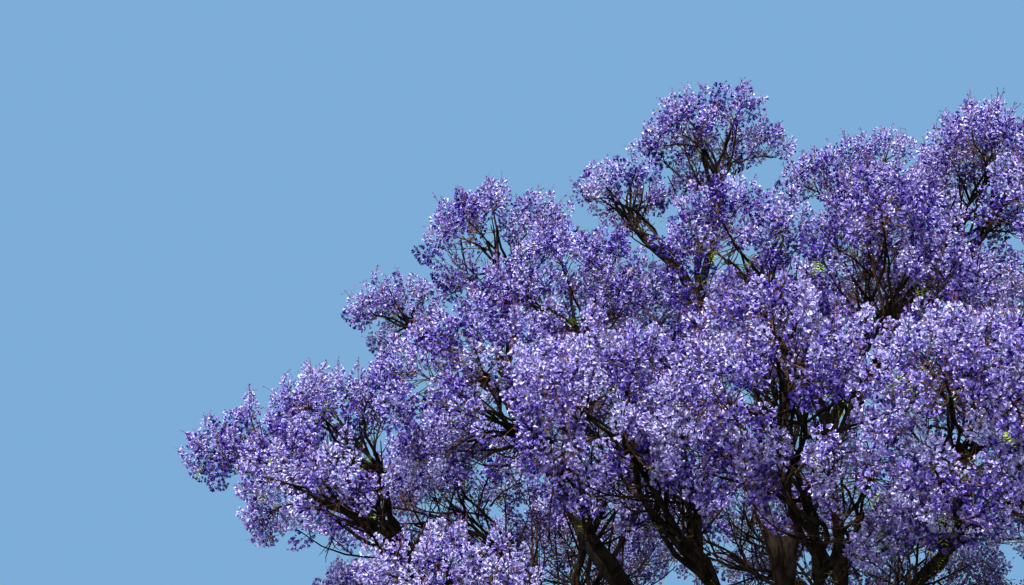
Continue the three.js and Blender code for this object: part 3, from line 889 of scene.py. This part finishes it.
# What makes a place a likely one for a head: the higher the score, the sooner it is taken.
score = {
    "facing": 0.7, "up": 0.6, "patches": 0.35, "patchSize": 0.7, "chance": 0.25, "betweenLess": 0.25,
    "lone": 0.7, "loneFrom": 1.1, "loneSpan": 1.5, "low": 0.4, "lowBetween": (6.8, 5.8),
    "stripWidth": 0.15, "stripReach": 1.4, "stripLess": 1.3, "stripDown": 0.28, "atBack": -0.3,
}
viewFrom = np.array([-3.8, -26.0, 1.6])  # where the photograph is taken from


def sprayFrame(spray):
    side, other = across(spray["axis"])
    return np.array([side, other, spray["axis"]])


def sprayHalf(spray):
    return np.array([spray["width"], spray["width"], spray["length"]]) / 2


def sprayMiddle(spray):
    return spray["root"] + spray["axis"] * spray["length"] * truss["middle"]


def sprayDepth(spray, points):
    # below 1 inside the spray's rounded outline
    local = np.abs((points - sprayMiddle(spray)) @ sprayFrame(spray).T) / sprayHalf(spray)
    return (local ** truss["roundness"]).sum(1) ** (1 / truss["roundness"])


def spiral(n, cap):
    # directions spread evenly over a cap round +Z
    cosine = 1 - (1 - math.cos(math.radians(cap))) * (np.arange(n) + 0.5) / n
    around = np.arange(n) * goldenAngle + rng.random() * fullTurn
    turn = np.arccos(cosine)
    local = np.stack([np.sin(turn) * np.cos(around), np.sin(turn) * np.sin(around), cosine], 1)
    return unit(local + rng.normal(0, truss["placeVary"], local.shape))


def placesOnSpray(spray, n):
    # on its rounded outline, with the way each faces
    local = spiral(n, truss["capAngle"])
    half = sprayHalf(spray)
    scale = (np.abs(local / half) ** truss["roundness"]).sum(1) ** (-1 / truss["roundness"])
    turned = sprayFrame(spray)
    return sprayMiddle(spray) + (local * scale[:, None]) @ turned, unit((local / half) @ turned)


def placesBetween(m, n):
    # inside the mass's ellipsoid; openPlaces keeps those outside its sprays
    side, other = across(m["outward"])
    direction = spiral(n, truss["betweenAngle"]) @ np.array([side, other, m["outward"]])
    share = rng.uniform(*truss["innerRoom"], (n, 1))
    flat = np.array([1, 1, mass["flatness"]])
    return m["centre"] + direction * flat * m["radius"] * share, direction


def openPlaces(places, owners, homes):
    # neither buried in another spray nor outside the mass's space
    keep = np.ones(len(places), bool)
    for number, spray in enumerate(sprays):
        near = np.linalg.norm(places - spray["root"], axis=1) < truss["nearSpray"]
        near &= owners != number
        keep[np.flatnonzero(near)[sprayDepth(spray, places[near]) < truss["buried"]]] = False
    for index in range(len(masses)):
        mine = homes == index
        keep[mine] &= inSpace(index, places[mine], room=truss["edge"], gap=0.0)
    return keep


def spaced(points, order, least, most):
    # those that keep their distance from the ones taken before, in the given order
    cells, kept = {}, []
    steps = [(i, j, k) for i in (-1, 0, 1) for j in (-1, 0, 1) for k in (-1, 0, 1)]
    rounded = np.floor(points / least).astype(int)
    for n in order:
        x, y, z = rounded[n]
        near = [other for i, j, k in steps for other in cells.get((x + i, y + j, z + k), ())]
        if not near or (np.linalg.norm(points[near] - points[n], axis=1) > least).all():
            kept.append(n)
            cells.setdefault((x, y, z), []).append(n)
        if len(kept) == most:
            break
    return np.array(kept)


def beforeLimbs(places):
    # in the strip through which a limb shows: towards the photographer, and at the back outwards
    hides = np.zeros(len(places), bool)
    for point in np.concatenate(shown):
        outward = unit(point * level) - up * score["stripDown"]
        way = unit(viewFrom - point)
        if way @ outward < score["atBack"]:
            way = unit(outward)
        gap = places - point
        along = gap @ way
        aside = np.linalg.norm(gap - along[:, None] * way, axis=1)
        hides |= (along > 0) & (along < score["stripReach"]) & (aside < score["stripWidth"])
    return hides


def placeTrusses():
    area = np.array([s["width"] * s["length"] for s in sprays])
    groups = []
    for number, spray in enumerate(sprays):
        places, directions = placesOnSpray(spray, round(truss["onSpray"] * area[number] / area.mean()))
        n = len(places)
        groups.append((places, directions, np.full(n, number), np.full(n, spray["mass"]), np.zeros(n)))
    for index, m in enumerate(masses):
        n = round(truss["between"] * (m["radius"] / massRadius.mean()) ** 2)
        places, directions = placesBetween(m, n)
        first = sum(len(other["sprays"]) for other in masses[:index])
        middles = np.array([sprayMiddle(s) for s in m["sprays"]])
        nearest = np.linalg.norm(places[:, None] - middles, axis=2).argmin(1) + first
        groups.append((places, directions, nearest, np.full(n, index), np.full(n, score["betweenLess"])))
    places, directions, owners, homes, less = (np.concatenate(column) for column in zip(*groups))
    outward = unit(unit(places - crownHeart) + up * score["up"])
    patches = np.array([noise.noise(place / score["patchSize"]) for place in places])
    lone = np.full(len(places), np.inf)
    for spray in sprays:
        lone = np.minimum(lone, sprayDepth(spray, places))
    worth = (score["facing"] * (directions * outward).sum(1) + score["patches"] * patches - less
             + score["lone"] * np.clip(lone - score["loneFrom"], 0, score["loneSpan"])
             + score["chance"] * rng.random(len(places))
             + score["low"] * smoothStep(places[:, 2], *score["lowBetween"])
             - score["stripLess"] * beforeLimbs(places))
    opens = openPlaces(places, np.where(less > 0, noOwner, owners), homes)
    fine = np.flatnonzero(opens & (lone < truss["loneMost"]))
    order = fine[np.argsort(-worth[fine])]
    kept = np.sort(spaced(places, order, truss["apart"], truss["most"]))
    return places[kept], directions[kept], owners[kept], homes[kept]


tips, facing, owner, home = placeTrusses()
count = len(tips)
trussLength = rng.uniform(*truss["length"], (count, 1))
trussWidth = rng.uniform(*truss["width"], (count, 1))
trussAxis = unit(facing + up * truss["lift"] + rng.normal(0, truss["axisVary"], (count, 3)))
trussBase = tips - trussAxis * trussLength * truss["set"]
trussTip = rng.random((count, 1)) ** 2 * truss["tip"]
print("placed", count, "flower heads")

# A stalk to each flower head, from a lower part of its spray's leader, and on through the head.
stalk = {
    "lower": 0.25, "from": (0.05, 0.97), "sag": 0.17, "leaveReach": 0.35, "arriveReach": 0.3,
    "through": 0.96, "tipVary": 0.2, "radii": (0.006, 0.0046, 0.0038, 0.0017),
    "colour": (0.085, 0.047, 0.034),
}
leaderWay = leaders[owner, -1] - leaders[owner, 0]
share = ((trussBase - leaders[owner, 0]) * leaderWay).sum(1) / (leaderWay ** 2).sum(1)
last = leaders.shape[1] - 1
place = np.clip(share - stalk["lower"], *stalk["from"]) * last
low = np.minimum(place.astype(int), last - 1)
start = mix(leaders[owner, low], leaders[owner, low + 1], (place - low)[:, None])
reach = np.linalg.norm(trussBase - start, axis=1)[:, None]
sag = rng.normal(0, stalk["sag"], start.shape) * reach
lines = manyCurves([start, start + unit(leaderWay) * reach * stalk["leaveReach"] + sag,
                    trussBase - trussAxis * reach * stalk["arriveReach"], trussBase], 3)
stalkEnd = (trussBase + trussAxis * (trussLength * stalk["through"] + trussTip)
            + rng.normal(0, stalk["tipVary"], start.shape) * trussTip)
lines = np.concatenate([lines, stalkEnd[:, None]], 1)
points, faces = tubes(lines, stalk["radii"], sides=3)
meshObject("flower_stalks", points, faces,
           [plainLook("flower stalk", stalk["colour"], roughness=0.8)])

# Blossom: bells around each flower head's stalk, and some whole trumpets. Each flower's tone is
# dealt by its head and its place there: partly at random, and partly as painted light, since heads
# that face up and heads low in the crown are lighter, and flowers near the top of a head are lighter,
# partly as newly opened ones and partly as painted light. The lower lobes are a tone deeper: painted
# shade.
flower = {
    "perHead": 30, "fullEvery": 12, "length": 0.04, "vary": 0.25, "droop": 0.3, "lift": (-0.1, 1.5),
    "liftCurve": 1.6, "outVary": 0.24, "aroundVary": 0.3, "roundTop": 0.93, "narrowFoot": (0.66, 0.34),
    "fill": (0.68, 1), "inward": 0.7, "leastReach": 0.004, "rise": (0.08, 0.9),
    "mouth": 0.0215, "mouthAt": 0.95, "lobes": 4, "lobeWidth": 0.62, "shadedLobeBelow": -0.7,
    "throat": 0.0085, "throatAt": 0.55, "fullLobes": 5, "fullMouth": 1.1, "fullMouthAt": 0.92,
}
# What makes a flower light: the higher the sum, the lighter its tone. Besides its random parts, the
# sum holds painted light: up lightens heads that face the sky, low lightens heads low in the crown,
# and height lightens the top of each head, partly for newly opened flowers and partly as painted light.
tone = {
    "headVary": 0.42, "up": 0.4, "place": 0.75, "patchSize": 0.45, "patchShift": 20, "low": 0.6,
    "lowBetween": (8, 5), "height": 0.8, "flowerVary": 0.42,
    # The deeper tones stand partly for flowers in shade, the lighter ones partly for sunlit flowers and
    # the palest partly for glints: painted shade, painted light and painted highlight.
    "kinds": (  # colour, share of the flowers, shine
        ("darkest", (0.011, 0.006, 0.085), 0, 0.05), ("deep", (0.055, 0.034, 0.21), 0.19, 0.08),
        ("violet", (0.187, 0.14, 0.395), 0.23, 0.12), ("lilac", (0.285, 0.25, 0.465), 0.29, 0.18),
        ("light", (0.31, 0.286, 0.48), 0.2, 0.22), ("palest", (0.33, 0.315, 0.495), 0.09, 0.25),
    ),
}
regions = {
    "left": ("left", "left_low", "left_high", "left_middle"),
    "front": ("front_left", "front_left_low", "front", "front_low"),
    "top": ("top", "top_right"),
    "right": ("right", "right_front"),
    "right_high": ("right_high",),
    "back_right": ("back_right", "back_right_high"),
    "back": ("back", "back_high"),
    "back_left": ("back_left", "back_left_low"),
}
petals = [plainLook("petals " + word, colour, 0.42, shine) for word, colour, _, shine in tone["kinds"]]
toneEdges = np.cumsum([share for _, _, share, _ in tone["kinds"]])[:-1]
tonePatches = np.array([noise.noise(tip / tone["patchSize"] + tone["patchShift"]) for tip in tips])
# Heads that face up and heads low in the crown are dealt lighter tones: painted light.
trussToneAndPaintedLight = (tone["headVary"] * rng.normal(0, 1, count) + tone["up"] * facing[:, 2]
             + tone["place"] * tonePatches + tone["low"] * smoothStep(tips[:, 2], *tone["lowBetween"]))


def flowerPlaces(heads):
    # every flower's foot, the way it faces, its size, whether it is a trumpet, and its tone, in part
    # painted light and shade
    n, each = len(heads), flower["perHead"]
    height = (np.arange(each) + 0.5) / each
    narrowest, more = flower["narrowFoot"]
    spread = np.sqrt(1 - (height * flower["roundTop"]) ** 2)
    spread = spread * (narrowest + more * np.sin(math.pi * np.minimum(height * 2, 1) / 2))
    around = np.arange(each) * goldenAngle + rng.random((n, 1)) * fullTurn
    around = around + rng.normal(0, flower["aroundVary"], (n, each))
    axis = np.repeat(trussAxis[heads][:, None], each, 1)
    side, other = across(trussAxis[heads])
    radial = swung(side[:, None], other[:, None], around[..., None])
    size = flower["length"] * (1 + flower["vary"] * rng.uniform(-1, 1, (n, each)))
    lift = mix(*flower["lift"], height ** flower["liftCurve"])[:, None]
    vary = rng.normal(0, flower["outVary"], radial.shape)
    out = unit(radial + axis * lift - up * flower["droop"] + vary)
    reach = trussWidth[heads] / 2 * spread * rng.uniform(*flower["fill"], (n, each))
    reach = np.maximum(reach - size * flower["inward"], flower["leastReach"])
    lowest, more = flower["rise"]
    rise = trussLength[heads] * (lowest + more * height)
    foot = trussBase[heads][:, None] + axis * rise[..., None] + radial * reach[..., None]
    full = np.tile(np.arange(each) % flower["fullEvery"] == 0, n)
    vary = rng.normal(0, tone["flowerVary"], (n, each))
    # Flowers near the top of a head get lighter tones: partly newly opened flowers, partly painted light.
    value = trussToneAndPaintedLight[heads][:, None] + tone["height"] * height + vary
    kind = np.searchsorted(np.quantile(value, toneEdges), value).ravel()
    return foot.reshape(-1, 3), out.reshape(-1, 3), size.reshape(-1), full, np.maximum(kind, 1)


def lobeRing(foot, out, size, angles, radius, forward):
    # a ring of points round each flower's axis, and the way out to each of them
    left, right = across(out)
    away = swung(left[:, None], right[:, None], angles[..., None])
    scale = (size / flower["length"])[:, None, None]
    return foot[:, None] + away * radius * scale + out[:, None] * (forward * size)[:, None, None], away


def bells(foot, out, size, turn, kind):
    # lobes from the foot to the mouth, those that face down a tone deeper as painted shade
    n = flower["lobes"]
    k = np.arange(n)
    pairs = (spokes(n)[:, None] + np.array([-1, 1]) * flower["lobeWidth"]).ravel()
    ring, away = lobeRing(foot, out, size, turn[:, None] + pairs, flower["mouth"], flower["mouthAt"])
    faces = repeated(np.stack([np.zeros(n, int), 2 + 2 * k, 1 + 2 * k], 1), len(foot), 2 * n + 1)
    # Lobes that face down take the next deeper tone: painted shade.
    under = away[:, ::2, 2] + away[:, 1::2, 2] < flower["shadedLobeBelow"]
    points = np.concatenate([foot[:, None], ring], 1)
    return points.reshape(-1, 3), faces.reshape(-1, 3), (kind[:, None] - under).ravel()


def trumpets(foot, out, size, turn, kind):
    # a narrow tube that opens into five lobes, the tube a tone deeper
    n = flower["fullLobes"]
    k = np.arange(n)
    turns = turn[:, None] + spokes(n)
    throat, _ = lobeRing(foot, out, size, turns, flower["throat"], flower["throatAt"])
    lobes, _ = lobeRing(foot, out, size, turns + math.pi / n, flower["mouth"] * flower["fullMouth"],
                        flower["fullMouthAt"])
    tube = np.stack([np.zeros(n, int), 1 + (k + 1) % n, 1 + k], 1)
    mouth = np.stack([1 + k, 1 + (k + 1) % n, 1 + n + k], 1)
    faces = repeated(np.vstack([tube, mouth]), len(foot), 2 * n + 1)
    points = np.concatenate([foot[:, None], throat, lobes], 1)
    return points.reshape(-1, 3), faces.reshape(-1, 3), (kind[:, None] - np.repeat([1, 0], n)).ravel()


def blossomPiece(region, names):
    mine = [index for index, m in enumerate(masses) if m["name"].rsplit("_", 1)[0] in names]
    foot, out, size, full, kind = flowerPlaces(np.flatnonzero(np.isin(home, mine)))
    turn = rng.random(len(foot)) * fullTurn
    made = [shape(foot[pick], out[pick], size[pick], turn[pick], kind[pick])
            for shape, pick in ((trumpets, full), (bells, ~full))]
    points, faces = joined([(p, f) for p, f, _ in made])
    slots = np.concatenate([s for _, _, s in made])
    piece = meshObject("blossom_of_" + region, points, faces, petals, slots)
    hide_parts(*[massNodes[index] for index in mine])


for region, names in regions.items():
    blossomPiece(region, names)

# Curled sprigs with buds above the heads that face the sky, and a bud at the tip of every head.
bud = {
    "facing": 0.45, "sprigs": 2, "chance": 0.75, "reach": (0.05, 0.13), "up": 0.8, "vary": 0.4,
    "bendVary": 0.8, "foot": (0.75, 0.95), "onward": (0.8, 1.25), "curl": (0.1, 0.6),
    "sprigRadii": (0.0036, 0.0033, 0.0025), "sprigColour": (0.1, 0.04, 0.07), "length": 0.038,
    "radius": 0.006, "widest": 0.62, "along": 0.9, "axisVary": 0.45, "sizes": (0.7, 1.3),
    "colour": (0.085, 0.04, 0.15),
}


def threeAround(foot, out, ahead, radius, size):
    # three points round a direction, some way along it
    left, right = across(out)
    ring = swung(left[:, None], right[:, None], spokes(3)[:, None])
    return foot[:, None] + (out[:, None] * ahead + ring * radius) * size


high = np.repeat(np.flatnonzero(facing[:, 2] > bud["facing"]), bud["sprigs"])
high = high[rng.random(len(high)) < bud["chance"]]
reach = rng.uniform(*bud["reach"], (len(high), 1))
way = unit(trussAxis[high] + up * bud["up"] + rng.normal(0, bud["vary"], (len(high), 3)))
bend = unit(across(way)[0] + rng.normal(0, bud["bendVary"], way.shape))
foot = trussBase[high] + trussAxis[high] * trussLength[high] * rng.uniform(*bud["foot"], reach.shape)
straight, over = bud["onward"]
slight, curled = bud["curl"]
sprigs = manyCurves([foot, foot + way * reach * straight,
                     foot + way * reach * over + bend * reach * slight,
                     foot + way * reach + bend * reach * curled], 3)
points, faces = tubes(sprigs, bud["sprigRadii"], sides=3)
meshObject("bud_sprigs", points, faces,
           [plainLook("bud sprig", bud["sprigColour"], roughness=0.7)])
foot = np.concatenate([stalkEnd, sprigs[:, 2], sprigs[:, 1]])
axis = np.concatenate([trussAxis, unit(sprigs[:, 2] - sprigs[:, 1]), way])
out = unit(axis * bud["along"] + rng.normal(0, bud["axisVary"], axis.shape))
size = rng.uniform(*bud["sizes"], (len(foot), 1, 1))
ring = threeAround(foot, out, bud["length"] * bud["widest"], bud["radius"], size)
point = foot[:, None] + out[:, None] * bud["length"] * size
points = np.concatenate([foot[:, None], ring, point], 1)
local = ((0, 2, 1), (0, 3, 2), (0, 1, 3), (4, 1, 2), (4, 2, 3), (4, 3, 1))
meshObject("flower_buds", points, repeated(local, len(foot), 5),
           [plainLook("flower bud", bud["colour"], roughness=0.6)])

# Cups left by fallen flowers, on the outside of every head.
cup = {
    "perHead": 2, "length": 0.022, "width": 0.014, "along": 0.3, "middle": 0.5, "outside": (0.8, 1.05),
    "up": 0.4, "vary": 0.3, "sizes": (0.7, 1.3),
    "colours": (("khaki", (0.17, 0.125, 0.06)), ("brown", (0.15, 0.075, 0.045))),
}
each = cup["perHead"]
axis = np.repeat(trussAxis, each, 0)
radial = unit(rng.normal(0, 1, axis.shape) + axis * cup["along"])
foot = np.repeat(trussBase + trussAxis * trussLength * cup["middle"], each, 0)
half = np.repeat(np.minimum(trussWidth, trussLength) / 2, each, 0)
foot = foot + radial * half * rng.uniform(*cup["outside"], half.shape)
out = unit(radial + up * cup["up"] + rng.normal(0, cup["vary"], radial.shape))
size = rng.uniform(*cup["sizes"], (len(foot), 1, 1))
points = np.concatenate([foot[:, None], threeAround(foot, out, cup["length"], cup["width"], size)], 1)
faces = repeated(((0, 1, 2), (0, 2, 3), (0, 3, 1)), len(foot), 4)
looks = [plainLook("dry cup " + word, colour, 0.8) for word, colour in cup["colours"]]
meshObject("dry_cups", points, faces, looks, np.repeat(rng.integers(0, 2, len(foot)), 3))

# Tufts of fresh fronds under some heads and along the limbs that show.
leaf = {
    "heads": 200, "onLimbs": 190, "innerFacing": 0.35, "fronds": 4, "length": (0.13, 0.24),
    "outward": 0.6, "hang": 0.4, "rise": 0.2, "vary": 0.5, "arch": 0.3, "pinnae": 7,
    "pinnaLength": 0.05, "pinnaCurve": (0.15, 0.8), "forward": 0.45, "droop": 0.2, "width": 0.17,
    "colour": (0.26, 0.33, 0.05),
}
inner = np.flatnonzero(facing[:, 2] < leaf["innerFacing"])
underHeads = rng.choice(inner, leaf["heads"], replace=False)
alongLimbs = np.concatenate(shown)
onLimbs = rng.choice(len(alongLimbs), leaf["onLimbs"], replace=False)
tufts = [(trussBase[i], facing[i] * leaf["outward"] - up * leaf["hang"]) for i in underHeads]
tufts += [(alongLimbs[i], up * leaf["rise"]) for i in onLimbs]
points = []
slimmest, fuller = leaf["pinnaCurve"]
for foot, lean in tufts:
    for _ in range(leaf["fronds"]):
        way = unit(lean + rng.normal(0, leaf["vary"], 3))
        length = rng.uniform(*leaf["length"])
        side, _ = across(way)
        for j in range(leaf["pinnae"]):
            h = (j + 1) / leaf["pinnae"]
            root = foot + way * length * h - up * length * leaf["arch"] * h * h
            size = leaf["pinnaLength"] * math.sin(math.pi * (slimmest + fuller * h))
            for sign in (-1, 1):
                tip = root + unit(side * sign + way * leaf["forward"]) * size - up * size * leaf["droop"]
                wide = way * size * leaf["width"]
                middle = mix(root, tip, 0.5)
                points.append([root, middle + wide, tip, middle - wide])
meshObject("fresh_leaves", points, np.arange(len(points) * 4).reshape(-1, 4),
           [plainLook("fresh leaf", leaf["colour"], roughness=0.55)])

# Dry pods: flat rounds under some heads.
pod = {
    "heads": 160, "radius": 0.028, "flatter": 0.85, "thickness": 0.012, "drop": 0.05, "vary": 0.03,
    "corners": 8, "colour": (0.24, 0.13, 0.055),
}
n = pod["corners"]
k = np.arange(n)
upper = np.stack([k, (k + 1) % n, np.full(n, n)], 1)
lower = np.stack([(k + 1) % n, k, np.full(n, n + 1)], 1)
points = []
for i in rng.choice(inner, pod["heads"], replace=False):
    centre = trussBase[i] + rng.normal(0, pod["vary"], 3) - up * pod["drop"]
    face = unit(rng.normal(0, 1, 3))
    side, other = across(face)
    rim = swung(side, other * pod["flatter"], spokes(n)[:, None]) * pod["radius"]
    half = face * pod["thickness"] / 2
    points.append(np.vstack([centre + rim, centre + half, centre - half]))
meshObject("dry_pods", points, repeated(np.vstack([upper, lower]), len(points), n + 2),
           [plainLook("dry pod", pod["colour"], roughness=0.8)])
for piece in pieces:
    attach(piece, "root")

# Floor, light and camera.
studio = {
    "floor": (0.17, 0.17, 0.17), "floorSize": 400, "floorDrop": 0.002, "sky": (0.272, 0.48, 0.713),
    "skyStrength": 0.58, "gamma": 0.79, "exposure": 0.85,
    "sun": 5.5, "sunAngle": 2.0, "sunColour": (1, 0.95, 0.88), "sunFrom": (-0.3, -0.59, 0.75),
    "fill": 3.3, "fillAngle": 90.0, "fillColour": (0.9, 0.93, 1), "fillFrom": (-0.15, -0.95, 0.22),
}
camera = {"pitch": 16.0, "lens": 85.5, "sensor": 36, "farthest": 500}
deselect()
bpy.ops.mesh.primitive_plane_add(size=studio["floorSize"], location=(0, 0, -studio["floorDrop"]))
floor = bpy.context.object
floor.name = "floor"
floor.data.materials.append(plainLook("floor", studio["floor"], roughness=0.9, specular=0.1))
for light in ("sun", "fill"):
    bpy.ops.object.light_add(type="SUN", location=(0, 0, 20))
    lamp = bpy.context.object
    lamp.name = light
    lamp.data.energy = studio[light]
    lamp.data.angle = math.radians(studio[light + "Angle"])
    lamp.data.color = studio[light + "Colour"]
    lamp.rotation_euler = Vector(studio[light + "From"]).to_track_quat("Z", "Y").to_euler()
world = bpy.data.worlds.new("pale sky")
bpy.context.scene.world = world
world.use_nodes = True
background = world.node_tree.nodes["Background"]
background.inputs["Color"].default_value = (*studio["sky"], 1)
background.inputs["Strength"].default_value = studio["skyStrength"]
settings = bpy.context.scene.view_settings
settings.view_transform = "Standard"
settings.gamma = studio["gamma"]
settings.exposure = studio["exposure"]
bpy.ops.object.camera_add(location=viewFrom, rotation=(math.radians(90 + camera["pitch"]), 0, 0))
view = bpy.context.object
view.data.lens = camera["lens"]
view.data.sensor_width = camera["sensor"]
view.data.clip_end = camera["farthest"]
bpy.context.scene.camera = view
print("set up the light and camera")
